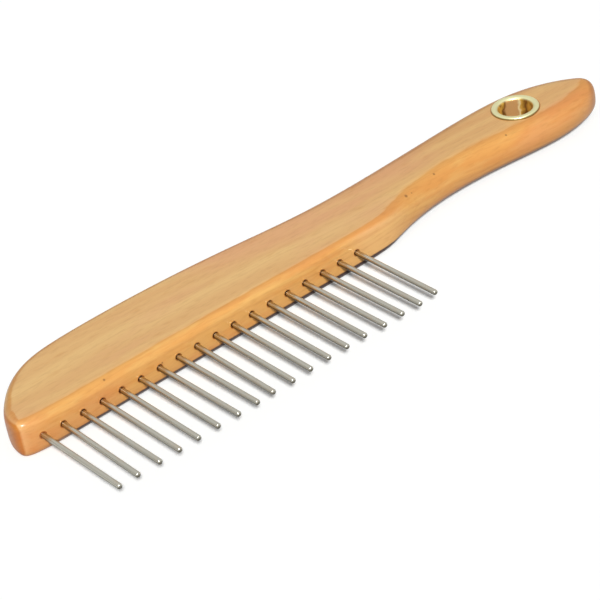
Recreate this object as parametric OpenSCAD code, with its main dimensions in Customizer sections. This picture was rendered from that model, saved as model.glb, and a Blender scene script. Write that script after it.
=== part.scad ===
// Comb for knitwear: a flat hardwood board with a row of steel pins and a brass eyelet to hang it by.
// Sizes are in millimetres. +X runs from the nose to the handle's end, +Y from the pins to the back edge,
// and +Z up from the face that rests on a table. The origin is under the middle of the whole comb.

/* [Pins] */
// Number of pins in the row
pin_count = 18; // [12:1:24]
// Distance from one pin to the next
pin_pitch = 5.5; // [4:0.1:8]
// Diameter of a pin
pin_d = 1.35; // [0.8:0.05:2]
// Length of a pin outside the wood
pin_out = 29.5; // [15:0.5:45]
// Length of a pin inside the wood
pin_in = 12; // [6:0.5:16]
// Rounding at a pin's free end
pin_tip_r = 0.4; // [0.1:0.05:0.4]
// How much deeper a hole is drilled than its pin goes
drill_spare = 1; // [0.5:0.1:3]
// Width of the worn ring round a pin, at the mouth of its hole
mouth_gap = 0.15; // [0.05:0.05:0.4]
// Depth of that ring
mouth_depth = 0.4; // [0.2:0.1:1]

/* [Head] */
// From the first pin to the nose
nose_margin = 6; // [4:0.5:12]
// From the last pin to the start of the handle
neck_margin = 5; // [3:0.5:12]
// Width of the head at its crown
head_w = 25.1; // [22:0.1:32]
// Width of the waist between the head and the handle
waist_w = 20.4; // [18:0.1:24]
// Length of the curve that the nose makes
nose_len = 18; // [14:0.5:20]
// Rounding of the corner between the nose and the pin edge, seen from above
nose_corner_r = 2.5; // [2:0.1:4]

/* [Handle] */
// Length of the handle
handle_len = 85.2; // [70:0.2:120]
// Width of the handle at the eyelet
handle_w = 21.8; // [18:0.1:26]
// How far the front edge draws in for the fingers
finger_hollow = 4.7; // [0:0.1:6]
// How far the front edge stands back at the eyelet
heel_rise = 1.5; // [0:0.1:4]

/* [Wood] */
// Thickness of the board
board_t = 10; // [8:0.5:14]
// Rounding of the head's edges
head_edge_r = 2.5; // [1:0.1:3.5]
// Rounding of the pin edge beside the last pin
neck_edge_r = 1.6; // [1:0.1:3]
// Rounding of the handle's edges
handle_edge_r = 4.4; // [2:0.1:4.7]

/* [Eyelet] */
// Diameter of the hole through the eyelet
bore_d = 8.8; // [5:0.1:9.4]
// Wall of the eyelet's barrel
barrel_wall = 0.5; // [0.3:0.05:0.8]
// Width of the flange round the barrel
flange_w = 1.3; // [1:0.1:2]
// Height of the flange above the wood
flange_h = 0.55; // [0.4:0.05:1]
// Radius of the roll from the flange into the hole
roll_r = 0.9; // [0.5:0.05:1]
// From the middle of the eyelet to the handle's end
eyelet_inset = 24.4; // [16:0.2:40]
// Width of the washer round the barrel on the back
washer_w = 1.1; // [1:0.1:1.8]
// Thickness of the washer
washer_t = 0.6; // [0.4:0.1:1]
// Width of the barrel's rim, which is turned out over the washer
rim_w = 0.8; // [0.4:0.1:1]
// Thickness of that rim
rim_t = 0.5; // [0.4:0.1:0.8]

/* [Hidden] */
pin_span = (pin_count - 1) * pin_pitch;
neck_x = pin_span + neck_margin;
head_len = nose_margin + neck_x;
handle_back = heel_rise + handle_w;
wood_r_limit = board_t / 2 - 0.3;

eyelet_x = neck_x + handle_len - eyelet_inset;
eyelet_y = heel_rise + handle_w / 2;
bore_r = bore_d / 2;
barrel_r = bore_r + barrel_wall;
flange_r = barrel_r + flange_w;
flange_edge_r = 0.4;
washer_r = barrel_r + washer_w;
// The washer and rim lie in a recess in the back, so that the wood alone rests on a table
recess_clear = 0.1;
rim_setback = 0.1;
recess_depth = rim_setback + rim_t + washer_t;

// Spans of the outline are drawn with this many points, and each rounded edge with this many bands
span_steps = 6;
edge_steps = 5;
round_fn = 48;

pin_names = [for (i = [1:pin_count]) str("pin_", i < 10 ? "0" : "", i)];

// The outline is a smooth closed curve drawn by control points. Each one is [along the comb from the first
// pin, across it from the pin line, rounding of the wood's edge there].
function at_corner(u, v) = [u * nose_corner_r - nose_margin, v * nose_corner_r, head_edge_r];
function on_pin_edge(u, r) = [u * head_len - nose_margin, 0, r];
function on_handle(u, y, r) = [neck_x + u * handle_len, y, min(r, wood_r_limit)];
function on_head_back(u, y, r) = [u * head_len - nose_margin, y, r];
function on_nose(u, v) = [u * nose_len - nose_margin, v * head_w, head_edge_r];

blend_r = (neck_edge_r + handle_edge_r) / 2;
waist_edge_r = (head_edge_r + handle_edge_r) / 2;

outline_points = [
    on_nose(0.065, 0.345),
    on_nose(0.02, 0.17),
    at_corner(0.3, 0.65),
    at_corner(2, 0),
    on_pin_edge(0.145, head_edge_r),
    on_pin_edge(0.52, head_edge_r),
    on_pin_edge(0.88, neck_edge_r),
    on_handle(0.06, 0, neck_edge_r),
    on_handle(0.105, finger_hollow * 0.16, blend_r),
    on_handle(0.22, finger_hollow * 0.68, handle_edge_r),
    on_handle(0.37, finger_hollow, handle_edge_r),
    on_handle(0.55, finger_hollow * 0.85, handle_edge_r),
    on_handle(0.72, heel_rise + handle_w * 0.01, handle_edge_r),
    on_handle(0.86, heel_rise, handle_edge_r),
    on_handle(0.99, heel_rise + handle_w * 0.19, handle_edge_r),
    on_handle(0.998, heel_rise + handle_w * 0.42, handle_edge_r),
    on_handle(0.975, heel_rise + handle_w * 0.585, handle_edge_r),
    on_handle(0.868, handle_back - handle_w * 0.14, handle_edge_r),
    on_handle(0.72, handle_back + handle_w * 0.01, handle_edge_r),
    on_handle(0.48, handle_back - handle_w * 0.02, handle_edge_r),
    on_handle(0.195, (handle_back + 2 * waist_w) / 3, handle_edge_r),
    on_head_back(0.94, waist_w, waist_edge_r),
    on_head_back(0.71, (waist_w + 2 * head_w) / 3, head_edge_r),
    on_head_back(0.48, head_w, head_edge_r),
    on_head_back(0.29, head_w, head_edge_r),
    on_nose(1, 0.96),
    on_nose(0.55, 0.77),
    on_nose(0.285, 0.565)
];

// Point of the curve at t, from 0 to 1, between the second and the third of four control points
function on_curve(a, b, c, d, t) =
    (a * pow(1 - t, 3) + b * (3 * pow(t, 3) - 6 * pow(t, 2) + 4)
        + c * (-3 * pow(t, 3) + 3 * pow(t, 2) + 3 * t + 1) + d * pow(t, 3)) / 6;

function curve_through(p) = [
    for (i = [0:len(p) - 1], s = [0:span_steps - 1])
        on_curve(p[i], p[(i + 1) % len(p)], p[(i + 2) % len(p)], p[(i + 3) % len(p)], s / span_steps)
];

outline = curve_through(outline_points);
outline_len = len(outline);

// Where the outline itself bends tightly, the rounding of its edge is drawn in to this share of the bend's
// radius, so that it never folds over itself. It is eased in over a few points to each side.
bend_share = 0.85;
bend_reach = 3;
no_bend = 1000;

function at(list, i) = list[(i + outline_len) % outline_len];
function run(i, j) = let (step = at(outline, j) - at(outline, i)) [step[0], step[1]];
function around(list, i) = [for (k = [-bend_reach:bend_reach]) at(list, i + k)];
function mean(list) = list * [for (v = list) 1] / len(list);

function bend_radius(i) =
    let (
        back = run(i - 1, i),
        ahead = run(i, i + 1),
        turn = asin((back[0] * ahead[1] - back[1] * ahead[0]) / (norm(back) * norm(ahead)))
    )
    turn > 0.1 ? (norm(back) + norm(ahead)) / 2 / (turn * PI / 180) : no_bend;

bends = [for (i = [0:outline_len - 1]) bend_radius(i)];
drawn_in = [for (i = [0:outline_len - 1]) min(outline[i][2], bend_share * min(around(bends, i)))];
edge_r = [for (i = [0:outline_len - 1]) mean(around(drawn_in, i))];

// The outline at one height of the rounded edge: tilt is -90 on the back face, 0 on the side, 90 on top
function outline_at(tilt, side) = [
    for (i = [0:outline_len - 1])
        let (
            p = outline[i],
            r = edge_r[i],
            along = run(i - 1, i + 1),
            inset = r * (1 - cos(tilt)) / norm(along)
        )
        [p[0] - along[1] * inset, p[1] + along[0] * inset, side * (board_t / 2 - r) + r * sin(tilt)]
];

edge_rings = concat(
    [for (s = [-edge_steps:0]) outline_at(s * 90 / edge_steps, -1)],
    [for (s = [0:edge_steps]) outline_at(s * 90 / edge_steps, 1)]
);

// The whole comb's box, which sets the origin
x_low = min([for (p = outline) p[0]]);
x_high = max([for (p = outline) p[0]]);
y_low = -pin_out;
y_high = max([for (p = outline) p[1]]);

// Moves a piece drawn at the first pin, with the middle of the board at zero height, to its place
module in_place() {
    translate([-(x_low + x_high) / 2, -(y_low + y_high) / 2, board_t / 2]) children();
}

module at_eyelet() {
    translate([eyelet_x, eyelet_y, 0]) children();
}

// Children drawn up the Z axis point along pin i, from the pin edge outwards
module along_pin(i) {
    translate([(i - 1) * pin_pitch, 0, 0]) rotate([90, 0, 0]) children();
}

// The flat faces are strips of triangles across the comb, from the nose to the heel. The outline starts on
// the nose, so points i and outline_len - 1 - i face each other across the comb.
module board_blank() {
    last = len(edge_rings) - 1;
    top = last * outline_len;
    points = [for (ring = edge_rings) each ring];
    sides = [
        for (k = [0:last - 1], i = [0:outline_len - 1])
            let (
                j = (i + 1) % outline_len,
                a = k * outline_len + i,
                b = k * outline_len + j,
                c = a + outline_len,
                d = b + outline_len
            )
            each [[a, c, b], [b, c, d]]
    ];
    flats = [
        for (i = [0:outline_len / 2 - 2])
            let (j = outline_len - 1 - i)
            each [
                [i, i + 1, j - 1],
                [i, j - 1, j],
                [top + i, top + j - 1, top + i + 1],
                [top + i, top + j, top + j - 1]
            ]
    ];
    polyhedron(points = points, faces = concat(sides, flats));
}

// Holes are turned in one piece, so that no two cuts share a surface
module pin_hole() {
    r = pin_d / 2;
    bottom = -pin_in - drill_spare;
    mouth_r = r + mouth_gap;
    rotate_extrude($fn = round_fn)
        polygon([[0, bottom], [r, bottom], [r, -mouth_depth], [mouth_r, -mouth_depth], [mouth_r, 1], [0, 1]]);
}

module eyelet_hole() {
    recess_r = washer_r + recess_clear;
    recess_top = recess_depth - board_t / 2;
    recess = [[0, -board_t], [recess_r, -board_t], [recess_r, recess_top]];
    bore = [[barrel_r, recess_top], [barrel_r, board_t], [0, board_t]];
    rotate_extrude($fn = round_fn) polygon(concat(recess, bore));
}

module board() {
    color("burlywood") in_place() difference() {
        board_blank();
        for (i = [1:pin_count]) along_pin(i) pin_hole();
        at_eyelet() eyelet_hole();
    }
}

// A straight pin with a rounded free end
module pin(i) {
    r = pin_d / 2;
    round_end = pin_out - pin_tip_r;
    tip = [for (a = [0:15:90]) [r - pin_tip_r + pin_tip_r * cos(a), round_end + pin_tip_r * sin(a)]];
    color("silver") in_place() along_pin(i)
        rotate_extrude($fn = round_fn) polygon(concat([[0, -pin_in], [r, -pin_in]], tip, [[0, pin_out]]));
}

// Flange, barrel and turned rim, as one turned profile
module eyelet() {
    wood_top = board_t / 2;
    flange_top = wood_top + flange_h;
    rim_top = rim_setback + rim_t - board_t / 2;
    rim_bottom = rim_setback - board_t / 2;
    roll_at = [bore_r + roll_r, flange_top - roll_r];
    edge_at = [flange_r - flange_edge_r, flange_top - flange_edge_r];
    roll = [for (a = [180:-15:90]) roll_at + roll_r * [cos(a), sin(a)]];
    edge = [for (a = [90:-15:0]) edge_at + flange_edge_r * [cos(a), sin(a)]];
    rim = [for (a = [-90:-15:-180]) [bore_r + rim_t + rim_t * cos(a), rim_top + rim_t * sin(a)]];
    profile = concat(
        roll,
        edge,
        [[flange_r, wood_top], [barrel_r, wood_top], [barrel_r, rim_top]],
        [[barrel_r + rim_w, rim_top], [barrel_r + rim_w, rim_bottom]],
        rim
    );
    color("khaki") in_place() at_eyelet() rotate_extrude($fn = round_fn) polygon(profile);
}

module washer() {
    washer_bottom = rim_setback + rim_t - board_t / 2;
    color("goldenrod") in_place() at_eyelet() translate([0, 0, washer_bottom]) difference() {
        cylinder(h = washer_t, r = washer_r, $fn = round_fn);
        translate([0, 0, -1]) cylinder(h = washer_t + 2, r = barrel_r, $fn = round_fn);
    }
}

board();
for (i = [1:pin_count]) pin(i);
eyelet();
washer();
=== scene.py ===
# %% [markdown]
# A steel-pinned comb for knitwear, dressed for the camera.
# The construction file already gives every piece its real size and place. This lesson keeps those places
# and makes the looks: a varnished hardwood board with sanded edges, eighteen drawn steel pins and a
# pressed brass eyelet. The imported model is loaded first, because every place below is read from it.

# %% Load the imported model
import math

import bmesh
import bpy
from mathutils import Matrix, Vector


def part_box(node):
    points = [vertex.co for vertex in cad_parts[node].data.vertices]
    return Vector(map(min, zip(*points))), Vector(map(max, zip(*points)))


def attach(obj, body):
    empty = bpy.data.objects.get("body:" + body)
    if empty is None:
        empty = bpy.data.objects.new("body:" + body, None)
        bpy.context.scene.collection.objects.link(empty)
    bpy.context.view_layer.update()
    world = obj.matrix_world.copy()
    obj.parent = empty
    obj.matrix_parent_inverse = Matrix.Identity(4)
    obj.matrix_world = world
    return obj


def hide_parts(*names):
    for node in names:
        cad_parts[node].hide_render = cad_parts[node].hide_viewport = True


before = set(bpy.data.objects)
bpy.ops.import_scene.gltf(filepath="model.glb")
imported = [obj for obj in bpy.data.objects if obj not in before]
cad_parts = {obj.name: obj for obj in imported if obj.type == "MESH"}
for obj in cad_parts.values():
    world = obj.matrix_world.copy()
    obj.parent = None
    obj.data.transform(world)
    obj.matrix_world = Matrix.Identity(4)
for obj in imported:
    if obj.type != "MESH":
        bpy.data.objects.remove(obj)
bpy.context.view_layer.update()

# %% [markdown]
# Everything on the comb is placed from the board, the eyelet and the pins. Their boxes are read once.
# Sizes are turned into millimetres, because that is how a maker thinks of them. Points in space stay in
# metres.

# %% Places of the board, the eyelet and the washer
MM = 0.001
board_low, board_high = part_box("board")
eyelet_low, eyelet_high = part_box("eyelet")
washer_low, washer_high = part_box("washer")

thickness = (board_high.z - board_low.z) / MM
eyelet_middle = (eyelet_low + eyelet_high) / 2
flange_r = (eyelet_high.x - eyelet_low.x) / 2 / MM
washer_r = (washer_high.x - washer_low.x) / 2 / MM
print("board", round(thickness, 2), "mm thick, flange", round(2 * flange_r, 2), "mm across")

# %% Places of the pins
pin_names = sorted(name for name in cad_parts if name.startswith("pin_"))
pin_boxes = [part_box(name) for name in pin_names]
pin_feet = [Vector(((low.x + high.x) / 2, board_low.y, (low.z + high.z) / 2)) for low, high in pin_boxes]

first_low, first_high = pin_boxes[0]
first_foot, last_foot = pin_feet[0], pin_feet[-1]
row_length = (last_foot - first_foot).x
pitch = (pin_feet[1] - first_foot).x
pin_radius = (first_high.x - first_low.x) / 2 / MM
pin_out = (board_low.y - first_low.y) / MM
pin_in = (first_high.y - board_low.y) / MM
print(len(pin_names), "pins,", round(2 * pin_radius, 2), "mm thick, standing out", round(pin_out, 1), "mm")

# %% [markdown]
# The camera comes before the pieces, so that every later step can be looked at through it. It looks down
# on the nose with a long lens, tipped a little. Its place is given from the first pin's foot. A camera
# starts out looking straight down, so it is tipped up, turned to its heading and rolled, in that order.

# %% Camera
PHOTO_SIDE = 600
FOCAL_PIXELS = 2532
CAMERA_FROM_FIRST_FOOT = Vector((-211.4, -420.8, 321.3)) * MM
HEADING, HEIGHT_ANGLE, ROLL = (math.radians(a) for a in (-34.21, 32.56, -10.34))

camera = bpy.data.objects.new("camera", bpy.data.cameras.new("camera"))
bpy.context.scene.collection.objects.link(camera)
camera.data.sensor_width = 36
camera.data.lens = FOCAL_PIXELS / PHOTO_SIDE * camera.data.sensor_width
camera.data.clip_start, camera.data.clip_end = 0.01, 20
turn = Matrix.Rotation(HEADING, 4, "Z")
tip_up = Matrix.Rotation(math.pi / 2 - HEIGHT_ANGLE, 4, "X")
roll = Matrix.Rotation(ROLL, 4, "Z")
camera.matrix_world = Matrix.Translation(first_foot + CAMERA_FROM_FIRST_FOOT) @ turn @ tip_up @ roll
bpy.context.scene.camera = camera
print("lens", round(camera.data.lens, 1), "mm")

# %% [markdown]
# Materials are node trees, and most of the work in one is adding nodes and joining them. One small helper
# adds a node, sets its values and links what feeds it. Most inputs go by their names on the node. Some
# nodes have several of one name, and those go by number: a Math node's are i0, i1 and i2, and a Mix
# node's are i0 for the share and i6 and i7 for its two colours. A result comes out of number 0, but a
# mixed colour out of number 2.

# %% Helper that adds a node
def new_material(name):
    material = bpy.data.materials.new(name)
    material.use_nodes = True
    material.node_tree.nodes.clear()
    return material


def add(material, kind, settings=None, **inputs):
    """Adds a node. Settings are its properties, or its operation. Sockets are linked and values set."""
    node = material.node_tree.nodes.new("ShaderNode" + kind)
    if isinstance(settings, str):
        settings = {"operation": settings}
    for key, value in (settings or {}).items():
        setattr(node, key, value)
    for key, value in inputs.items():
        numbered = key[0] == "i" and key[1:].isdigit()
        socket = node.inputs[int(key[1:]) if numbered else key.replace("_", " ")]
        if isinstance(value, bpy.types.NodeSocket):
            material.node_tree.links.new(value, socket)
        else:
            socket.default_value = value
    return node


ONE_D = {"noise_dimensions": "1D"}
COLOUR_MIX = {"data_type": "RGBA", "clamp_factor": True}
MULTIPLY_MIX = {"data_type": "RGBA", "blend_type": "MULTIPLY", "clamp_factor": True}
print("two ways to mix:", COLOUR_MIX, MULTIPLY_MIX)

# %% [markdown]
# Colours are written as the hex values that a paint program shows, so a second helper turns them into the
# linear values that the renderer wants. A third one gives the scale of a pattern, from how many
# millimetres one cell of it measures along the comb, across it and through it.

# %% Helpers for colours and patterns
def linear(hex_colour):
    channels = [int(hex_colour[i : i + 2], 16) / 255 for i in (1, 3, 5)]
    return tuple(c / 12.92 if c <= 0.04045 else ((c + 0.055) / 1.055) ** 2.4 for c in channels) + (1.0,)


def cell(along, across, through):
    return tuple(1 / (side * MM) for side in (along, across, through))


print("mid grey in linear light:", [round(c, 3) for c in linear("#808080")])

# %% [markdown]
# The board is one plank, so its shape is an outline with rounded edges. A smooth closed curve drawn by a
# few control points suits it: the points say where the crown, the waist, the finger hollow and the heel
# are, and the curve does the rest. The same points and sizes shape the construction file, so the two
# boards agree.

# %% Sizes of the board
nose_margin, neck_margin = 6, 5
head_w, waist_w, handle_w = 25.1, 20.4, 21.8
nose_len, nose_corner_r = 18, 2.5
handle_len, finger_hollow, heel_rise = 85.2, 4.7, 1.5
head_edge_r, neck_edge_r, handle_edge_r = 2.5, 1.6, 4.4

neck_x = row_length / MM + neck_margin
head_len = nose_margin + neck_x
handle_back = heel_rise + handle_w
blend_r = (neck_edge_r + handle_edge_r) / 2
waist_edge_r = (head_edge_r + handle_edge_r) / 2
print("head", round(head_len, 1), "mm long, handle", handle_len, "mm long")

# %% [markdown]
# Each control point is a place along the comb, a place across it and the radius of the edge there. It is
# given as a share of the part of the board that it belongs to, so that the part keeps its character when
# a size changes. The points run from the nose along the pin edge to the heel, and back along the other
# side.

# %% Helpers for the control points
def at_corner(u, v):
    return (u * nose_corner_r - nose_margin, v * nose_corner_r, head_edge_r)


def on_nose(u, v):
    return (u * nose_len - nose_margin, v * head_w, head_edge_r)


def on_head(u, y, edge_r):
    return (u * head_len - nose_margin, y, edge_r)


def on_handle(u, y, edge_r):
    return (neck_x + u * handle_len, y, edge_r)


print("nose's corner starts at", at_corner(0, 1), "mm")

# %% Control points of the outline
outline_points = [
    on_nose(0.065, 0.345),
    on_nose(0.02, 0.17),
    at_corner(0.3, 0.65),
    at_corner(2, 0),
    on_head(0.145, 0, head_edge_r),
    on_head(0.52, 0, head_edge_r),
    on_head(0.88, 0, neck_edge_r),
    on_handle(0.06, 0, neck_edge_r),
    on_handle(0.105, finger_hollow * 0.16, blend_r),
    on_handle(0.22, finger_hollow * 0.68, handle_edge_r),
    on_handle(0.37, finger_hollow, handle_edge_r),
    on_handle(0.55, finger_hollow * 0.85, handle_edge_r),
    on_handle(0.72, heel_rise + handle_w * 0.01, handle_edge_r),
    on_handle(0.86, heel_rise, handle_edge_r),
    on_handle(0.99, heel_rise + handle_w * 0.19, handle_edge_r),
    on_handle(0.998, heel_rise + handle_w * 0.42, handle_edge_r),
    on_handle(0.975, heel_rise + handle_w * 0.585, handle_edge_r),
    on_handle(0.868, handle_back - handle_w * 0.14, handle_edge_r),
    on_handle(0.72, handle_back + handle_w * 0.01, handle_edge_r),
    on_handle(0.48, handle_back - handle_w * 0.02, handle_edge_r),
    on_handle(0.195, (handle_back + 2 * waist_w) / 3, handle_edge_r),
    on_head(0.94, waist_w, waist_edge_r),
    on_head(0.71, (waist_w + 2 * head_w) / 3, head_edge_r),
    on_head(0.48, head_w, head_edge_r),
    on_head(0.29, head_w, head_edge_r),
    on_nose(1, 0.96),
    on_nose(0.55, 0.77),
    on_nose(0.285, 0.565),
]
print(len(outline_points), "control points")

# %% [markdown]
# Between four neighbouring control points the curve is a cubic. Four steps in each span are enough,
# because a subdivision modifier smooths the board once more.

# %% Outline
SPAN_STEPS = 4


def on_curve(a, b, c, d, t):
    weights = ((1 - t) ** 3, 3 * t**3 - 6 * t**2 + 4, -3 * t**3 + 3 * t**2 + 3 * t + 1, t**3)
    return Vector(sum(w * p[k] for w, p in zip(weights, (a, b, c, d))) / 6 for k in range(3))


curve = []
for i in range(len(outline_points)):
    four = [outline_points[(i + k) % len(outline_points)] for k in range(4)]
    curve += [on_curve(*four, step / SPAN_STEPS) for step in range(SPAN_STEPS)]

count = len(curve)
plan = [p.xy for p in curve]
print(count, "outline points")

# %% [markdown]
# Where the outline bends tightly, at the nose's corner and the heel, the rounding of the edge is drawn
# in, or its inner rings would fold over themselves. How tight a bend is follows from how far the outline
# turns at a point, and the radius is then evened out over the neighbouring points.

# %% Radius of the edge
BEND_SHARE = 0.85
BEND_REACH = 2
STRAIGHT_BELOW = 0.002
NO_BEND = 1000


def nearby(values, i):
    return [values[(i + k) % len(values)] for k in range(-BEND_REACH, BEND_REACH + 1)]


bends, inward = [], []
for i in range(count):
    back, ahead = plan[i] - plan[i - 1], plan[(i + 1) % count] - plan[i]
    turning = math.asin(back.cross(ahead) / (back.length * ahead.length))
    bends.append((back.length + ahead.length) / 2 / turning if turning > STRAIGHT_BELOW else NO_BEND)
    along = (back + ahead).normalized()
    inward.append(Vector((-along.y, along.x)))
drawn_in = [min(curve[i].z, BEND_SHARE * min(nearby(bends, i))) for i in range(count)]
edge_radius = [sum(nearby(drawn_in, i)) / (2 * BEND_REACH + 1) for i in range(count)]
print("tightest edge radius", round(min(edge_radius), 2), "mm")

# %% [markdown]
# The blank is grown from that outline. A loop of edges is extruded ring by ring, and each new ring is
# moved in and up along the quarter round of the edge. One more ring lies just inside the flat, which
# keeps the flat level under the subdivision surface. The flats are then bridged from the front run to the
# back run, so the whole board is four-sided faces.

# %% Rings of the board
FLAT_MARGIN = 1.6
FLAT_SHARE = 0.3
TILTS = (0, 22.5, 45, 67.5, 90)
UNDER, UPPER = -1, 1


def board_point(i, tilt, side):
    """Point i of the outline on one ring of the rounded edge: tilt is 0 at the side and 90 on the flat."""
    inset = edge_radius[i] * (1 - math.cos(math.radians(tilt)))
    rise = thickness / 2 - edge_radius[i] * (1 - math.sin(math.radians(tilt)))
    across = plan[i] + inward[i] * inset
    return first_foot + Vector((across.x, across.y, side * rise)) * MM


def flat_point(i, side):
    """A point a little way in from the edge of the flat, towards the point across from it."""
    here, partner = board_point(i, 90, side), board_point(count - 1 - i, 90, side)
    return here.lerp(partner, min(FLAT_SHARE, FLAT_MARGIN * MM / (partner - here).length))


rings = [lambda i: flat_point(i, UNDER)]
rings += [lambda i, tilt=tilt: board_point(i, tilt, UNDER) for tilt in reversed(TILTS)]
rings += [lambda i, tilt=tilt: board_point(i, tilt, UPPER) for tilt in TILTS]
rings += [lambda i: flat_point(i, UPPER)]
print(len(rings), "rings")

# %% Board blank
bm = bmesh.new()
place = bm.verts.layers.int.new("place_on_outline")
first_ring = [bm.verts.new(rings[0](i)) for i in range(count)]
for i, vert in enumerate(first_ring):
    vert[place] = i
ring_edges = [bm.edges.new((first_ring[i], first_ring[(i + 1) % count])) for i in range(count)]


def bridge_flat(edges):
    """Bridges the front run of a ring to its back run. The two edges that join the runs stay out."""
    ends = {frozenset((count - 1, 0)), frozenset((count // 2 - 1, count // 2))}
    runs = [e for e in edges if frozenset(v[place] for v in e.verts) not in ends]
    bmesh.ops.bridge_loops(bm, edges=runs)


bridge_flat(ring_edges)
for ring in rings[1:]:
    grown = bmesh.ops.extrude_edge_only(bm, edges=ring_edges)["geom"]
    ring_edges = [g for g in grown if isinstance(g, bmesh.types.BMEdge)]
    for vert in (g for g in grown if isinstance(g, bmesh.types.BMVert)):
        vert.co = ring(vert[place])
bridge_flat(ring_edges)
bmesh.ops.recalc_face_normals(bm, faces=bm.faces)
print("blank:", len(bm.faces), "faces,", len([e for e in bm.edges if not e.is_manifold]), "open edges")

# %% [markdown]
# A helper turns a finished bmesh into an object, and another one bakes an object's modifiers into its
# mesh. The board needs that twice: once for the smooth blank, and once more after the holes are cut.
# Faces are shaded smooth, and only edges sharper than a limit stay crisp, such as the rim of a hole.

# %% Object helpers
CRISP_FROM = math.radians(42)


def as_object(bm, name):
    mesh = bpy.data.meshes.new(name)
    bm.to_mesh(mesh)
    bm.free()
    mesh.shade_smooth()
    mesh.set_sharp_from_angle(angle=CRISP_FROM)
    made = bpy.data.objects.new(name, mesh)
    bpy.context.scene.collection.objects.link(made)
    return made


def bake_modifiers(thing):
    evaluated = thing.evaluated_get(bpy.context.evaluated_depsgraph_get())
    baked = bpy.data.meshes.new_from_object(evaluated)
    baked.shade_smooth()
    baked.set_sharp_from_angle(angle=CRISP_FROM)
    thing.modifiers.clear()
    thing.data = baked


print("edges stay crisp from", round(math.degrees(CRISP_FROM)), "degrees")

# %% Helper that dresses a piece
def dress(piece, material, node):
    """Gives a piece its material, attaches it to the root body and hides the solid that it stands for."""
    piece.data.materials.clear()
    piece.data.materials.append(material)
    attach(piece, "root")
    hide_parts(node)


# %% Smooth board
board = as_object(bm, "board_wood")
smoothing = board.modifiers.new("smooth", "SUBSURF")
smoothing.levels = smoothing.render_levels = 2
bake_modifiers(board)
print("board:", len(board.data.polygons), "faces,", [round(d / MM, 2) for d in board.dimensions], "mm")

# %% [markdown]
# Pins, eyelet, washer and holes are all round, so each is a profile turned about an axis. The profile is
# a short list of radius and height pairs, spun a full turn and merged where it closes.

# %% Turning
MERGE_WITHIN = 1e-7


def turned(profile, steps, move, bm=None, closed=False):
    """Spins a profile of (radius, height) in mm about the Z axis and moves the result to its place."""
    bm = bm or bmesh.new()
    before = set(bm.verts)
    verts = [bm.verts.new(Vector((radius, 0, height)) * MM) for radius, height in profile]
    edges = [bm.edges.new(pair) for pair in zip(verts, verts[1:])]
    if closed:
        edges.append(bm.edges.new((verts[-1], verts[0])))
    spun = {"axis": (0, 0, 1), "cent": (0, 0, 0), "angle": 2 * math.pi, "steps": steps, "use_merge": True}
    bmesh.ops.spin(bm, geom=verts + edges, **spun)
    bmesh.ops.remove_doubles(bm, verts=[v for v in bm.verts if v not in before], dist=MERGE_WITHIN)
    new = [v for v in bm.verts if v not in before]
    bmesh.ops.transform(bm, matrix=move, verts=new)
    bmesh.ops.recalc_face_normals(bm, faces=[f for f in bm.faces if f.verts[0] not in before])
    return bm


def arc(centre_r, centre_z, radius, start, end, steps):
    angles = [math.radians(start + (end - start) * k / steps) for k in range(steps + 1)]
    return [(centre_r + radius * math.cos(a), centre_z + radius * math.sin(a)) for a in angles]


print("a quarter round in 6 steps:", len(arc(0, 0, 1, 0, 90, 6)), "points")

# %% Places for turned shapes
def out_of_edge(foot, lean=Matrix.Identity(4)):
    """Turns a shape drawn up the Z axis so that it points out of the pin edge, at a pin's foot."""
    return Matrix.Translation(foot) @ Matrix.Rotation(math.pi / 2, 4, "X") @ lean


at_eyelet = Matrix.Translation((eyelet_middle.x, eyelet_middle.y, board_low.z))
print("eyelet's axis stands", [round(c / MM, 1) for c in at_eyelet.translation], "mm from the origin")

# %% [markdown]
# The holes are cut by one boolean. Each pin sits in a drilled hole whose mouth is worn a little wider,
# which gives the thin dark ring round its foot. The eyelet's hole goes right through and has a shallow
# recess on the back, where the washer lies. The cutters run clear of the wood, so that no thin skin is
# left.

# %% Profiles of the holes
MOUTH_GAP, MOUTH_DEPTH, MOUTH_BREAK, DRILL_DEPTH = 0.1, 0.25, 0.1, 13
BARREL_R, RECESS_R, RECESS_DEPTH = 4.9, 6.1, 1.2
CLEAR = 3

mouth_r = pin_radius + MOUTH_GAP
pin_hole = [
    (0, -DRILL_DEPTH),
    (pin_radius, -DRILL_DEPTH),
    (pin_radius, -MOUTH_DEPTH),
    (mouth_r, -MOUTH_DEPTH + MOUTH_BREAK),
    (mouth_r, -MOUTH_BREAK),
    (mouth_r + MOUTH_BREAK, 0),
    (mouth_r + MOUTH_BREAK, CLEAR),
    (0, CLEAR),
]
eyelet_hole = [
    (0, -CLEAR),
    (RECESS_R, -CLEAR),
    (RECESS_R, RECESS_DEPTH),
    (BARREL_R, RECESS_DEPTH),
    (BARREL_R, thickness + CLEAR),
    (0, thickness + CLEAR),
]
print("mouths of the pin holes", round(2 * (mouth_r + MOUTH_BREAK), 2), "mm wide")

# %% Holes cut in the board
PIN_HOLE_STEPS, EYELET_HOLE_STEPS = 32, 64

cutter_bm = turned(eyelet_hole, EYELET_HOLE_STEPS, at_eyelet)
for foot in pin_feet:
    turned(pin_hole, PIN_HOLE_STEPS, out_of_edge(foot), cutter_bm)
cutter = as_object(cutter_bm, "hole_cutter")

cut = board.modifiers.new("holes", "BOOLEAN")
cut.operation, cut.object, cut.solver = "DIFFERENCE", cutter, "EXACT"
bake_modifiers(board)
bpy.data.objects.remove(cutter)
print("board with holes:", len(board.data.polygons), "faces")

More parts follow.
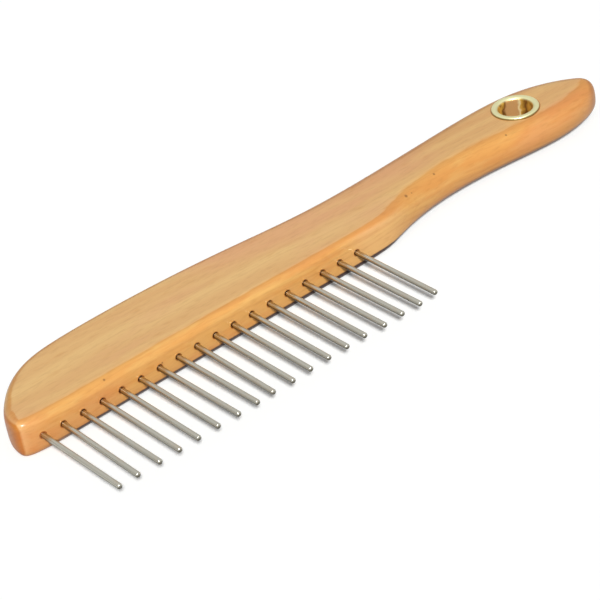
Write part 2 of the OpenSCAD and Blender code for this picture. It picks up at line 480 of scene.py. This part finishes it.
# %% [markdown]
# The board is beech, or a hardwood very like it, sanded and dipped in clear varnish. The eye sees three
# things in it: long faint streaks where the growth layers meet the surface, short darker flecks where its
# fine pores are cut open, and a warmer tone on the sanded edges, which soak up more varnish than the flat
# does. All of it is made from the solid's own coordinates, as if the plank had been sawn from a block, so
# that the streaks run over the edges as they do in wood.
# The growth layers come first. They lie nearly level, and a slow noise makes them sway by some
# millimetres. How deep a point lies in the layers is the measure that every streak follows.

# %% Wood: growth layers
LAYER_NORMAL = Vector((0.035, 0.45, 0.89))
SWAY_MM = 9.0

wood = new_material("varnished_beech")
in_wood = add(wood, "TexCoord").outputs["Object"]
sway_place = add(wood, "Mapping", Vector=in_wood, Scale=cell(60, 22, 22)).outputs["Vector"]
sway = add(wood, "TexNoise", Vector=sway_place, Scale=1.0, Detail=2.0).outputs["Fac"]
depth = add(wood, "VectorMath", "DOT_PRODUCT", i0=in_wood, i1=LAYER_NORMAL / MM).outputs["Value"]
layer = add(wood, "Math", "MULTIPLY_ADD", i0=sway, i1=SWAY_MM, i2=depth).outputs[0]
layer_lean = LAYER_NORMAL.angle(Vector((0, 0, 1)))
print("growth layers lean", round(math.degrees(layer_lean)), "degrees from level")

# %% [markdown]
# Broad bands are some three millimetres of growth, and the thin lines in them are less than one. The
# flecks are cut pores, long with the fibres. Real ones are a few tenths of a millimetre wide, and here
# they are drawn a little wider, or they would not show. Larger patches have a faint pink blush.

# %% Wood: streaks and flecks
BAND_MM, LINE_MM = 3.2, 0.7
FLECK_CELL, PATCH_CELL = cell(3.2, 0.6, 0.6), cell(38, 12, 12)

bands = add(wood, "TexNoise", ONE_D, W=layer, Scale=1 / BAND_MM, Detail=2.0).outputs["Fac"]
lines = add(wood, "TexNoise", ONE_D, W=layer, Scale=1 / LINE_MM, Detail=3.0, Roughness=0.6).outputs["Fac"]
patch_place = add(wood, "Mapping", Vector=in_wood, Scale=PATCH_CELL).outputs["Vector"]
patches = add(wood, "TexNoise", Vector=patch_place, Scale=1.0, Detail=3.0).outputs["Fac"]
fleck_place = add(wood, "Mapping", Vector=in_wood, Scale=FLECK_CELL).outputs["Vector"]
flecks = add(wood, "TexNoise", Vector=fleck_place, Scale=1.0, Detail=2.0).outputs["Fac"]
print("streaks", BAND_MM, "and", LINE_MM, "mm apart")

# %% Wood: colour of the flat
PALE, TAN, BLUSH = linear("#e6bc7c"), linear("#dcaa6e"), linear("#dfa676")
LINE, FLECK = linear("#cc9a64"), linear("#b98650")

flat_colour = PALE
for pattern, start, full, most, tone in (
    (bands, 0.35, 0.68, 1.0, TAN),
    (patches, 0.48, 0.7, 0.8, BLUSH),
    (lines, 0.52, 0.8, 0.22, LINE),
    (flecks, 0.5, 0.8, 0.28, FLECK),
):
    share = add(wood, "MapRange", Value=pattern, From_Min=start, From_Max=full, To_Max=most).outputs[0]
    flat_colour = add(wood, "Mix", COLOUR_MIX, i0=share, i6=flat_colour, i7=tone).outputs[2]
print("flat of the board, pale tone", [round(c, 2) for c in PALE[:3]])

# %% [markdown]
# The edges are warmer than the flat. The surface's own direction says where an edge is: it points up on
# the flat and sideways on the edge. A little noise makes the border between the two wander, as sanding
# does. Where the edge turns across the fibres, towards the nose and the heel, this warmth falls to half.

# %% Wood: where the edges are
BORDER_WANDER = 0.04
ACROSS_FIBRES_WARMTH = 0.5

wood_facing = add(wood, "SeparateXYZ", i0=add(wood, "NewGeometry").outputs["Normal"]).outputs
steepness = add(wood, "Math", "ABSOLUTE", i0=wood_facing["Z"]).outputs[0]
endways = add(wood, "Math", "ABSOLUTE", i0=wood_facing["X"]).outputs[0]
border_place = add(wood, "Mapping", Vector=in_wood, Scale=cell(5, 1.5, 1.5)).outputs["Vector"]
border = add(wood, "TexNoise", Vector=border_place, Scale=1.0, Detail=3.0).outputs["Fac"]
wandering = add(wood, "Math", "MULTIPLY_ADD", i0=border, i1=BORDER_WANDER, i2=steepness).outputs[0]
edge_part = add(wood, "MapRange", Value=wandering, From_Min=1.016, From_Max=0.994).outputs[0]
fibre_part = add(
    wood, "MapRange", Value=endways, From_Min=0.3, From_Max=0.6, To_Min=1.0, To_Max=ACROSS_FIBRES_WARMTH
).outputs[0]
side_share = add(wood, "Math", "MULTIPLY", i0=edge_part, i1=fibre_part).outputs[0]
print("border between flat and edge wanders in waves 5 mm long")

# %% [markdown]
# Round the neck, where the pin edge turns into the handle, the lower half of the wall is painted paler.
# This is a painted sheen: at a grazing angle the varnish there mirrors the white floor. The distance from
# a point just past the neck, measured along the comb, says where. The upper half of the wall keeps its
# warmth.

# %% Wood: painted sheen round the neck
NECK_PAST, NECK_PALEST, NECK_END = 2, 3, 13
NECK_WARMTH = 0.25
neck_middle = (neck_x + NECK_PAST) * MM

from_foot = add(wood, "VectorMath", "SUBTRACT", i0=in_wood, i1=first_foot).outputs["Vector"]
foot_parts = add(wood, "SeparateXYZ", i0=from_foot).outputs
from_neck = add(wood, "Math", "SUBTRACT", i0=foot_parts["X"], i1=neck_middle).outputs[0]
neck_distance = add(wood, "Math", "ABSOLUTE", i0=from_neck).outputs[0]
# Painted sheen: round the neck the wall's warmth is taken back, so the wall shows paler there.
neck_part = add(
    wood, "MapRange", Value=neck_distance, From_Min=NECK_PALEST * MM, From_Max=NECK_END * MM,
    To_Min=NECK_WARMTH, To_Max=1.0,
).outputs[0]
upper_part = add(wood, "MapRange", Value=wood_facing["Z"], From_Min=0.3, From_Max=0.75).outputs[0]
neck_share = add(wood, "Math", "MAXIMUM", i0=neck_part, i1=upper_part).outputs[0]
warm_share = add(wood, "Math", "MULTIPLY", i0=side_share, i1=neck_share).outputs[0]
print("wall is paler for", 2 * NECK_END, "mm round the neck")

# %% [markdown]
# Varnish soaks into the edges unevenly. Long patches have taken up more of it and are orange, and they
# are commonest on the upper half, where it stood longest. Between them the edge is a lighter honey tone.
# Both tones multiply the colour of the flat, as a clear stain does, so that the streaks stay visible in
# them.

# %% Wood: soaked edges
WARM, ORANGE = linear("#f1e3c6"), linear("#efd6b2")
SOAK_MM = (16, 3, 2.2)
SOAK_UPWARD = 0.16

soak_place = add(wood, "Mapping", Vector=in_wood, Scale=cell(*SOAK_MM)).outputs["Vector"]
soak = add(wood, "TexNoise", Vector=soak_place, Scale=1.0, Detail=5.0, Roughness=0.6).outputs["Fac"]
soak_high = add(wood, "Math", "MULTIPLY_ADD", i0=wood_facing["Z"], i1=SOAK_UPWARD, i2=soak).outputs[0]
soak_share = add(wood, "MapRange", Value=soak_high, From_Min=0.48, From_Max=0.62).outputs[0]
warmth = add(wood, "Mix", COLOUR_MIX, i0=soak_share, i6=WARM, i7=ORANGE).outputs[2]
warmed = add(wood, "Mix", MULTIPLY_MIX, i0=warm_share, i6=flat_colour, i7=warmth).outputs[2]
print("edges soak up varnish in patches", SOAK_MM[0], "mm long")

# %% [markdown]
# The nose and the heel are cut across the fibres. End grain drinks the most varnish, so it is browner.
# Surfaces that face along the comb towards the heel, away from the lamp, get a painted shade as well.

# %% Wood: end grain and painted shade towards the heel
END_GRAIN, HEEL_SHADE = linear("#e2ba7a"), linear("#dcc8aa")

end_share = add(wood, "MapRange", Value=endways, From_Min=0.62, From_Max=0.78).outputs[0]
ended = add(wood, "Mix", MULTIPLY_MIX, i0=end_share, i6=warmed, i7=END_GRAIN).outputs[2]
# Painted shade on faces turned towards the heel, away from the lamp.
heel_shade_share = add(wood, "MapRange", Value=wood_facing["X"], From_Min=0.3, From_Max=0.45).outputs[0]
heel_shaded = add(wood, "Mix", MULTIPLY_MIX, i0=heel_shade_share, i6=ended, i7=HEEL_SHADE).outputs[2]
print("end grain", [round(c, 2) for c in END_GRAIN[:3]])

# %% [markdown]
# Where the edge turns under, a painted shade darkens it, and along the very bottom a thin dark brown line
# is a painted contact shadow where the board meets the floor. The line is found in two ways, and the
# stronger counts: by its height above the back, on steep walls, and by how far the surface has turned
# under, on the rounder edge of the handle. It fades out at the nose, and the back face is free of both.

# %% Wood: painted shade low on the edge
SHADE = linear("#ecdcc4")
LOWER_WANDER = 0.06

downward = add(wood, "Math", "MULTIPLY_ADD", i0=border, i1=LOWER_WANDER, i2=wood_facing["Z"]).outputs[0]
not_below = add(wood, "MapRange", Value=wood_facing["Z"], From_Min=-0.97, From_Max=-0.9).outputs[0]
shade_part = add(wood, "MapRange", Value=downward, From_Min=0.25, From_Max=-0.3).outputs[0]
shade_share = add(wood, "Math", "MULTIPLY", i0=shade_part, i1=not_below).outputs[0]
# Painted shade where the edge turns under towards the floor.
shaded = add(wood, "Mix", MULTIPLY_MIX, i0=shade_share, i6=heel_shaded, i7=SHADE).outputs[2]
print("shade low on the edge", [round(c, 2) for c in SHADE[:3]])

# %% Wood: painted contact shadow along the bottom
CONTACT_SHADOW = linear("#3a1e12")
CONTACT_TOP, CONTACT_FULL = 2.1, 1.7
NOSE_FREE, NOSE_PAST = -1, 9
TURNED_UNDER_MOST = 0.8

height = add(wood, "SeparateXYZ", i0=in_wood).outputs["Z"]
contact_top, contact_full = board_low.z + CONTACT_TOP * MM, board_low.z + CONTACT_FULL * MM
low_part = add(wood, "MapRange", Value=height, From_Min=contact_top, From_Max=contact_full).outputs[0]
under_part = add(
    wood, "MapRange", Value=downward, From_Min=-0.3, From_Max=-0.58, To_Max=TURNED_UNDER_MOST
).outputs[0]
past_nose = add(
    wood, "MapRange", Value=foot_parts["X"], From_Min=NOSE_FREE * MM, From_Max=NOSE_PAST * MM
).outputs[0]
contact_most = add(wood, "Math", "MAXIMUM", i0=low_part, i1=under_part).outputs[0]
contact_here = add(wood, "Math", "MULTIPLY", i0=contact_most, i1=past_nose).outputs[0]
contact_share = add(wood, "Math", "MULTIPLY", i0=contact_here, i1=not_below).outputs[0]
# Painted contact shadow: a thin dark brown line along the bottom of the edge.
edged = add(wood, "Mix", MULTIPLY_MIX, i0=contact_share, i6=shaded, i7=CONTACT_SHADOW).outputs[2]
print("line of varnish up to", CONTACT_TOP, "mm above the back")

# %% [markdown]
# Stain collects in a ring round each pin's foot. A hair line round the eyelet's flange, in the same tone,
# is a painted contact shadow under the flange's edge. The pins stand at an even pitch, so the length along
# the comb is snapped to the nearest foot, and kept between the first and the last. One short chain of
# nodes then serves all the pins.

# %% Wood: distance from the nearest pin
shifted = add(wood, "Math", "ADD", i0=foot_parts["X"], i1=pitch / 2).outputs[0]
snapped = add(wood, "Math", "SNAP", i0=shifted, i1=pitch).outputs[0]
not_before = add(wood, "Math", "MAXIMUM", i0=snapped, i1=0.0).outputs[0]
nearest = add(wood, "Math", "MINIMUM", i0=not_before, i1=row_length).outputs[0]
aside = add(wood, "Math", "SUBTRACT", i0=foot_parts["X"], i1=nearest).outputs[0]
from_pin = add(wood, "CombineXYZ", X=aside, Z=foot_parts["Z"]).outputs[0]
pin_distance = add(wood, "VectorMath", "LENGTH", i0=from_pin).outputs["Value"]
print("pins every", round(pitch / MM, 1), "mm")

# %% Wood: stain rings
STAIN_AND_SHADOW = linear("#b8946c")
RING_END, RING_FULL = 0.45, 0.15
EDGE_END, EDGE_FULL = 2, 1
ring_outer, ring_inner = (pin_radius + RING_END) * MM, (pin_radius + RING_FULL) * MM

ring_part = add(wood, "MapRange", Value=pin_distance, From_Min=ring_outer, From_Max=ring_inner)
on_edge = add(wood, "MapRange", Value=foot_parts["Y"], From_Min=EDGE_END * MM, From_Max=EDGE_FULL * MM)
ring_share = add(wood, "Math", "MULTIPLY", i0=ring_part.outputs[0], i1=on_edge.outputs[0])
ringed = add(wood, "Mix", MULTIPLY_MIX, i0=ring_share.outputs[0], i6=edged, i7=STAIN_AND_SHADOW).outputs[2]
print("rings", round(2 * ring_outer / MM, 2), "mm across")

# %% Wood: painted contact shadow round the flange
# Multiplying by this drops a vector's height, so only its level part is left.
LEVEL = (1.0, 1.0, 0.0)
HAIR_END, HAIR_FULL = 0.35, 0.05
hair_outer, hair_inner = (flange_r + HAIR_END) * MM, (flange_r + HAIR_FULL) * MM

from_eyelet = add(wood, "VectorMath", "SUBTRACT", i0=in_wood, i1=eyelet_middle).outputs["Vector"]
level_part = add(wood, "VectorMath", "MULTIPLY", i0=from_eyelet, i1=LEVEL).outputs["Vector"]
eyelet_distance = add(wood, "VectorMath", "LENGTH", i0=level_part).outputs["Value"]
# Painted contact shadow: a hair line of darker tone just outside the flange.
flange_shadow_part = add(wood, "MapRange", Value=eyelet_distance, From_Min=hair_outer, From_Max=hair_inner)
flange_shadowed = add(wood, "Mix", MULTIPLY_MIX, i0=flange_shadow_part.outputs[0], i6=ringed, i7=STAIN_AND_SHADOW).outputs[2]
print("hair line", round(2 * hair_outer / MM, 2), "mm across")

# %% [markdown]
# The handle has darkened a very little under the hand. A few dark specks, where a tiny knot or a grain of
# dust lies under the varnish, sit along the front edge. Each one is a distance from a point. Their places
# and sizes are in millimetres, from the first pin's foot.

# %% Wood: handled grip and specks
HANDLED, SPECK = linear("#faf7f2"), linear("#6b4422")
GRIP_START, GRIP_FULL = 90, 135
SPECK_CORE, SPECK_MOST = 0.3, 0.75
SPECKS_FROM_FOOT = [
    ((114.0, 4.1, 4.4), 0.6),
    ((116.0, 4.3, 4.2), 0.3),
    ((125.2, 6.2, 4.4), 0.45),
    ((149.2, 5.4, 4.3), 0.4),
    ((18.6, 0.9, 4.4), 0.4),
    ((33.9, 0.0, 0.9), 0.35),
]

hand_part = add(wood, "MapRange", Value=foot_parts["X"], From_Min=GRIP_START * MM, From_Max=GRIP_FULL * MM)
speckled = add(wood, "Mix", MULTIPLY_MIX, i0=hand_part.outputs[0], i6=flange_shadowed, i7=HANDLED).outputs[2]
for offset, size in SPECKS_FROM_FOOT:
    spot = first_foot + Vector(offset) * MM
    away = add(wood, "VectorMath", "DISTANCE", i0=in_wood, i1=spot).outputs["Value"]
    speck = {"From_Min": size * MM, "From_Max": size * SPECK_CORE * MM, "To_Max": SPECK_MOST}
    share = add(wood, "MapRange", Value=away, **speck).outputs[0]
    speckled = add(wood, "Mix", COLOUR_MIX, i0=share, i6=speckled, i7=SPECK).outputs[2]
print(len(SPECKS_FROM_FOOT), "specks")

# %% [markdown]
# The varnish is a clear layer of its own over the wood. It is satin, a little lumpy from dipping, and
# fills the pores only partly. So the coat has a broad shallow bump, and the wood under it a fine one.

# %% Wood: varnish
LUMP_HEIGHT, PORE_DEPTH = 0.06, 0.03

lump_place = add(wood, "Mapping", Vector=in_wood, Scale=cell(2.2, 1.5, 1.5)).outputs["Vector"]
lumps = add(wood, "TexNoise", Vector=lump_place, Scale=1.0, Detail=2.0).outputs["Fac"]
coat_bump = add(wood, "Bump", Height=lumps, Strength=0.35, Distance=LUMP_HEIGHT * MM).outputs["Normal"]
pore_bump = add(wood, "Bump", Height=flecks, Strength=0.4, Distance=PORE_DEPTH * MM).outputs["Normal"]
wood_rough = add(wood, "MapRange", Value=lines, To_Min=0.5, To_Max=0.62).outputs[0]
wood_shader = add(
    wood, "BsdfPrincipled", Base_Color=speckled, Roughness=wood_rough, IOR=1.5, Specular_IOR_Level=0.2,
    Normal=pore_bump, Coat_Weight=0.45, Coat_Roughness=0.24, Coat_IOR=1.5, Coat_Normal=coat_bump,
)
add(wood, "OutputMaterial", Surface=wood_shader.outputs["BSDF"])
dress(board, wood, "board")
print("board dressed in", wood.name)

# %% [markdown]
# The pins are hard steel wire, drawn through a die, cut, tumbled round at the free end and nickel plated.
# The drawing leaves fine lines along the wire, so the pattern is long along the pin and short across it.
# Real lines are some hundredths of a millimetre apart, too fine to show, so they are drawn coarser.
# Plating over them is satin rather than mirror bright, a little yellow beside chrome, and clouded here
# and there.

# %% Steel: plating
PLATE, DULL, WARM_PLATE = linear("#d4d2c6"), linear("#bcb9ab"), linear("#cabfac")

steel = new_material("nickel_plated_drawn_wire")
in_steel = add(steel, "TexCoord").outputs["Object"]
drawn_place = add(steel, "Mapping", Vector=in_steel, Scale=cell(0.35, 16, 0.35)).outputs["Vector"]
drawn = add(steel, "TexNoise", Vector=drawn_place, Scale=1.0, Detail=3.0).outputs["Fac"]
cloud_place = add(steel, "Mapping", Vector=in_steel, Scale=cell(1.5, 3.5, 1.5)).outputs["Vector"]
clouds = add(steel, "TexNoise", Vector=cloud_place, Scale=1.0, Detail=2.0).outputs["Fac"]
plated = add(steel, "Mix", COLOUR_MIX, i0=drawn, i6=PLATE, i7=DULL).outputs[2]
cloud_share = add(steel, "MapRange", Value=clouds, From_Min=0.5, From_Max=0.7, To_Max=0.6).outputs[0]
clouded = add(steel, "Mix", COLOUR_MIX, i0=cloud_share, i6=plated, i7=WARM_PLATE).outputs[2]
print("plate", [round(c, 2) for c in PLATE[:3]])

# %% [markdown]
# A painted shade darkens the underside of each pin, where its plating would mirror the shadowed floor.
# Near the wood a painted reflection of the varnished board yellows each pin for a few millimetres.

# %% Steel: painted shade underneath and painted reflection at the foot
UNDERSIDE, FOOT = linear("#6a665e"), linear("#eadfca")
REFLECTION_REACH, REFLECTION_FULL = 4, 2.5

steel_facing = add(steel, "SeparateXYZ", i0=add(steel, "NewGeometry").outputs["Normal"]).outputs
# Painted shade on the underside of each pin.
below_share = add(steel, "MapRange", Value=steel_facing["Z"], From_Min=0.35, From_Max=-0.1).outputs[0]
under_shaded_plate = add(steel, "Mix", MULTIPLY_MIX, i0=below_share, i6=clouded, i7=UNDERSIDE).outputs[2]
across_comb = add(steel, "SeparateXYZ", i0=in_steel).outputs["Y"]
reflection_reach_y, reflection_full_y = first_foot.y - REFLECTION_REACH * MM, first_foot.y - REFLECTION_FULL * MM
# Painted reflection of the wood on each pin near its foot.
reflection_share = add(steel, "MapRange", Value=across_comb, From_Min=reflection_reach_y, From_Max=reflection_full_y).outputs[0]
steel_colour = add(steel, "Mix", MULTIPLY_MIX, i0=reflection_share, i6=under_shaded_plate, i7=FOOT).outputs[2]
print("varnish creeps", REFLECTION_REACH, "mm out along the pins")

# %% Steel: finish
DRAWN_DEPTH = 0.02

steel_rough = add(steel, "MapRange", Value=drawn, To_Min=0.23, To_Max=0.34).outputs[0]
drawn_bump = add(steel, "Bump", Height=drawn, Strength=0.3, Distance=DRAWN_DEPTH * MM).outputs["Normal"]
steel_shader = add(
    steel, "BsdfPrincipled", Base_Color=steel_colour, Metallic=1.0, Roughness=steel_rough,
    Normal=drawn_bump,
)
add(steel, "OutputMaterial", Surface=steel_shader.outputs["BSDF"])
print("pins in", steel.name)

# %% [markdown]
# One profile serves all the pins: a straight side, a rounded shoulder and a small flat at the end.
# Pressed in by hand, no two stand quite alike. Each leans to one side by a few tenths of a millimetre at
# its free end, and some stand out a few tenths less than their solids, as a ruler laid along the row
# shows. Both lists are in tenths of a millimetre. Every pin stops half a tenth short, so that none
# reaches past its solid.

# %% Pins
TIP_R = 0.4
TIP_STEPS, PIN_STEPS = 6, 32
TENTH = 0.1
SPARE = 0.5
LEANS = (-1, -5, 0, 0, -1, 0, 2.5, 2.7, -4.5, -3, -3.2, -2.8, -2.8, -2.6, -0.5, 0.8, -0.4, -1.5)
SHORTS = (0, 1, 0, 0, 1, 1, 0, 1, 3, 1, 4, 5, 5, 6, 1, 3, 1, 8)

for name, foot, lean, short in zip(pin_names, pin_feet, LEANS, SHORTS):
    length = pin_out - (short + SPARE) * TENTH
    leaning = Matrix.Rotation(math.atan(lean * TENTH / pin_out), 4, "Y")
    shoulder = arc(pin_radius - TIP_R, length - TIP_R, TIP_R, 0, 90, TIP_STEPS)
    profile = [(0, -pin_in), (pin_radius, -pin_in)] + shoulder + [(0, length)]
    pin = as_object(turned(profile, PIN_STEPS, out_of_edge(foot, leaning)), name + "_steel")
    dress(pin, steel, name)
most_lean = max(abs(lean) for lean in LEANS) * TENTH
print(len(pin_names), "pins, leaning up to", most_lean, "mm at the free end")

# %% [markdown]
# The eyelet is thin brass sheet, drawn to a tube, flanged over the wood and rolled over a washer on the
# back. New pressed brass is pale and bright. The flange is straw, with faint olive smudges, and a painted
# shade darkens its steep rolled edge. Inside the tube the brass is painted in bands, partly browning and
# partly painted reflections with a painted glint.

# %% Brass: flange
STRAW, OLIVE, EDGE = linear("#fdfaca"), linear("#f2edb4"), linear("#a89e66")

brass = new_material("bright_pressed_brass")
in_brass = add(brass, "TexCoord").outputs["Object"]
smudge_place = add(brass, "Mapping", Vector=in_brass, Scale=cell(1.1, 1.1, 1.1)).outputs["Vector"]
smudges = add(brass, "TexNoise", Vector=smudge_place, Scale=1.0, Detail=3.0).outputs["Fac"]
smudged = add(brass, "Mix", COLOUR_MIX, i0=smudges, i6=STRAW, i7=OLIVE).outputs[2]
brass_facing = add(brass, "SeparateXYZ", i0=add(brass, "NewGeometry").outputs["Normal"]).outputs
# Painted shade on the flange's steep rolled edge.
rolled = add(brass, "MapRange", Value=brass_facing["Z"], From_Min=0.7, From_Max=0.2).outputs[0]
flange_colour = add(brass, "Mix", COLOUR_MIX, i0=rolled, i6=smudged, i7=EDGE).outputs[2]
print("flange", [round(c, 2) for c in STRAW[:3]])

# %% [markdown]
# Round the tube the tone changes from gold through brown and rose to a pale painted glint, and back to
# gold. The bands are partly browned brass and partly painted reflections, laid out across the bore as the
# camera looks into it. A colour ramp lays these tones out side by side across the bore, and noise makes
# their borders waver.

# %% Brass: place across the tube
ACROSS_TUBE = Vector((0.83, -0.56, 0.0))
TUBE_START, TUBE_END = -2.4, 6.4
WAVER_MM = 4.0

from_middle = add(brass, "VectorMath", "SUBTRACT", i0=in_brass, i1=eyelet_middle).outputs["Vector"]
sideways = add(brass, "VectorMath", "DOT_PRODUCT", i0=from_middle, i1=ACROSS_TUBE / MM).outputs["Value"]
waver_place = add(brass, "Mapping", Vector=in_brass, Scale=cell(2.2, 2.2, 3)).outputs["Vector"]
band_waver = add(brass, "TexNoise", Vector=waver_place, Scale=1.0, Detail=2.0).outputs["Fac"]
wavering = add(brass, "Math", "MULTIPLY_ADD", i0=band_waver, i1=WAVER_MM, i2=sideways).outputs[0]
along_ramp = add(brass, "MapRange", Value=wavering, From_Min=TUBE_START, From_Max=TUBE_END).outputs[0]
print("tones spread over", round(TUBE_END - TUBE_START, 1), "mm, wavering up to", WAVER_MM, "mm")

# %% Brass: tones and painted reflections of the tube
GOLD, BROWN, ROSE, PAINTED_GLINT = (linear(c) for c in ("#e2b450", "#7a4e20", "#d6a86e", "#fff0b8"))
TUBE_TONES = (
    (0.14, GOLD),
    (0.22, BROWN),
    (0.3, ROSE),
    (0.58, ROSE),
    (0.66, PAINTED_GLINT),
    (0.72, GOLD),
    (0.85, BROWN),
)

# Painted reflections and a painted glint, side by side across the tube.
ramp = add(brass, "ValToRGB", Fac=along_ramp)
tones = ramp.color_ramp.elements
tones[0].position, tones[0].color = 0.0, GOLD
tones[1].position, tones[1].color = 1.0, GOLD
for position, tone in TUBE_TONES:
    tones.new(position).color = tone
tube_colour = ramp.outputs["Color"]
print(len(tones), "tones across the tube")

# %% [markdown]
# How far a point lies from the eyelet's axis says whether it is inside the tube. There the brass is
# tarnished and reflects less clearly, so it is made less metallic as well.

# %% Brass: finish
BORE_R, ROLL_R = 4.4, 0.9
WALL_END, WALL_FULL = 0.35, 0.05
TARNISHED = 0.45
DENT_DEPTH = 0.04
tube_outer, tube_inner = (BORE_R + WALL_END) * MM, (BORE_R + WALL_FULL) * MM

level_middle = add(brass, "VectorMath", "MULTIPLY", i0=from_middle, i1=LEVEL).outputs["Vector"]
axis_distance = add(brass, "VectorMath", "LENGTH", i0=level_middle).outputs["Value"]
in_tube = add(brass, "MapRange", Value=axis_distance, From_Min=tube_outer, From_Max=tube_inner).outputs[0]
brass_colour = add(brass, "Mix", COLOUR_MIX, i0=in_tube, i6=flange_colour, i7=tube_colour).outputs[2]
brass_metal = add(brass, "MapRange", Value=in_tube, To_Min=1.0, To_Max=TARNISHED).outputs[0]
brass_rough = add(brass, "MapRange", Value=smudges, To_Min=0.34, To_Max=0.46).outputs[0]
dents = add(brass, "Bump", Height=smudges, Strength=0.25, Distance=DENT_DEPTH * MM).outputs["Normal"]
brass_shader = add(
    brass, "BsdfPrincipled", Base_Color=brass_colour, Metallic=brass_metal, Roughness=brass_rough,
    Normal=dents,
)
add(brass, "OutputMaterial", Surface=brass_shader.outputs["BSDF"])
print("eyelet and washer in", brass.name)

# %% [markdown]
# The eyelet is one closed profile: the roll into the bore, the flange's rounded edge, the tube, and the
# rim that is turned out over the washer. The washer is a flat ring with its corners just broken.

# %% Eyelet
FLANGE_EDGE_R, RIM_T, RIM_W, RIM_SETBACK = 0.4, 0.5, 0.8, 0.1
ROLL_STEPS, EDGE_STEPS, EYELET_STEPS = 8, 6, 96

eyelet_top = (eyelet_high.z - board_low.z) / MM
rim_top = RIM_SETBACK + RIM_T
profile = arc(BORE_R + ROLL_R, eyelet_top - ROLL_R, ROLL_R, 180, 90, ROLL_STEPS)
profile += arc(flange_r - FLANGE_EDGE_R, eyelet_top - FLANGE_EDGE_R, FLANGE_EDGE_R, 90, 0, EDGE_STEPS)
profile += [(flange_r, thickness), (BARREL_R, thickness), (BARREL_R, rim_top)]
profile += [(BARREL_R + RIM_W, rim_top), (BARREL_R + RIM_W, RIM_SETBACK)]
profile += arc(BORE_R + RIM_T, rim_top, RIM_T, -90, -180, EDGE_STEPS)
eyelet = as_object(turned(profile, EYELET_STEPS, at_eyelet, closed=True), "eyelet_brass")
dress(eyelet, brass, "eyelet")
print("eyelet", round(2 * flange_r, 1), "mm across, bore", 2 * BORE_R, "mm")

# %% Washer
WASHER_CORNER = 0.08
CORNER_STEPS, WASHER_STEPS = 2, 64

low, high = ((corner.z - board_low.z) / MM for corner in (washer_low, washer_high))
profile = arc(washer_r - WASHER_CORNER, low + WASHER_CORNER, WASHER_CORNER, -90, 0, CORNER_STEPS)
profile += arc(washer_r - WASHER_CORNER, high - WASHER_CORNER, WASHER_CORNER, 0, 90, CORNER_STEPS)
profile += [(BARREL_R, high), (BARREL_R, low)]
washer = as_object(turned(profile, WASHER_STEPS, at_eyelet, closed=True), "washer_brass")
dress(washer, brass, "washer")
print("washer", round(2 * washer_r, 1), "mm across")

# %% [markdown]
# The floor is a sheet of white paper in an ordinary room. The camera and polished metal see it white, a
# little short of full white, so that shadows show, and a faint glow lifts the lit paper to pure white.
# The light that it throws back at the wood is that of a greyer table, or the undersides of the edges
# would be too pale.

# %% Floor
PAPER_WHITE, PAPER_BOUNCE = linear("#f8f9f8"), linear("#b8b6b2")
FLOOR_LIFT = 0.12
FLOOR_HALF_SIDE = 3

floor_bm = bmesh.new()
bmesh.ops.create_grid(floor_bm, x_segments=1, y_segments=1, size=FLOOR_HALF_SIDE)
bmesh.ops.translate(floor_bm, vec=(0, 0, board_low.z), verts=floor_bm.verts)
floor = as_object(floor_bm, "floor")

paper = new_material("white_paper")
rays = add(paper, "LightPath").outputs
seen = add(paper, "Math", "MAXIMUM", i0=rays["Is Camera Ray"], i1=rays["Is Glossy Ray"]).outputs[0]
lift = add(paper, "Math", "MULTIPLY", i0=seen, i1=FLOOR_LIFT).outputs[0]
shown = add(paper, "Mix", COLOUR_MIX, i0=seen, i6=PAPER_BOUNCE, i7=PAPER_WHITE).outputs[2]
matte = add(paper, "BsdfDiffuse", Color=shown)
glow = add(paper, "Emission", Strength=lift)
both = add(paper, "AddShader", i0=matte.outputs[0], i1=glow.outputs[0])
add(paper, "OutputMaterial", Surface=both.outputs[0])
floor.data.materials.append(paper)
print("paper", [round(c, 2) for c in PAPER_WHITE[:3]], "bounce", [round(c, 2) for c in PAPER_BOUNCE[:3]])

# %% [markdown]
# The studio is a white tent with one soft lamp. The camera sees the tent as pure white. Metal sees it
# white overhead and grey towards the horizon, which draws the thin dark lines along the pins. What is
# left lights the shadows.

# %% World
TENT_LIGHT = 0.22
HORIZON_GREY, OVERHEAD_WHITE, WHITE_FROM = 0.6, 1.0, 0.75

world = bpy.data.worlds.new("studio")
bpy.context.scene.world = world
world.use_nodes = True
world.node_tree.nodes.clear()
rays = add(world, "LightPath").outputs
upward = add(world, "SeparateXYZ", i0=add(world, "TexCoord").outputs["Generated"]).outputs["Z"]
tent = add(
    world, "MapRange", Value=upward, From_Max=WHITE_FROM, To_Min=HORIZON_GREY, To_Max=OVERHEAD_WHITE
)
mirrored = add(world, "Mix", Factor=rays["Is Glossy Ray"], i2=TENT_LIGHT, i3=tent.outputs[0])
level = add(world, "Mix", Factor=rays["Is Camera Ray"], i2=mirrored.outputs[0], i3=1.0)
sky = add(world, "Background", Strength=level.outputs[0])
add(world, "OutputWorld", Surface=sky.outputs[0])
print("tent light", TENT_LIGHT)

# %% [markdown]
# The lamp is at the front left, 39 degrees up, so the pins' shadows fall away from the camera. A sun lamp
# with a wide disc suits it: it is as soft as a window some metres away, and lights the whole floor
# evenly. Its strength is set so that lamp and tent together render a colour as it is written.

# %% Lamp
LAMP_SIDE = Vector((-0.59, -1.06, 1.0)).normalized()
LAMP_DISC = math.radians(9)
LAMP_STRENGTH = (1 - TENT_LIGHT) * math.pi / LAMP_SIDE.z

lamp = bpy.data.lights.new("key", "SUN")
lamp.energy, lamp.angle = LAMP_STRENGTH, LAMP_DISC
key = bpy.data.objects.new("key", lamp)
bpy.context.scene.collection.objects.link(key)
key.location = LAMP_SIDE
key.rotation_mode = "QUATERNION"
key.rotation_quaternion = (-LAMP_SIDE).to_track_quat("-Z", "Y")
bpy.context.scene.view_settings.view_transform = "Standard"
print("lamp", round(math.degrees(math.asin(LAMP_SIDE.z))), "degrees up, strength", round(LAMP_STRENGTH, 2))
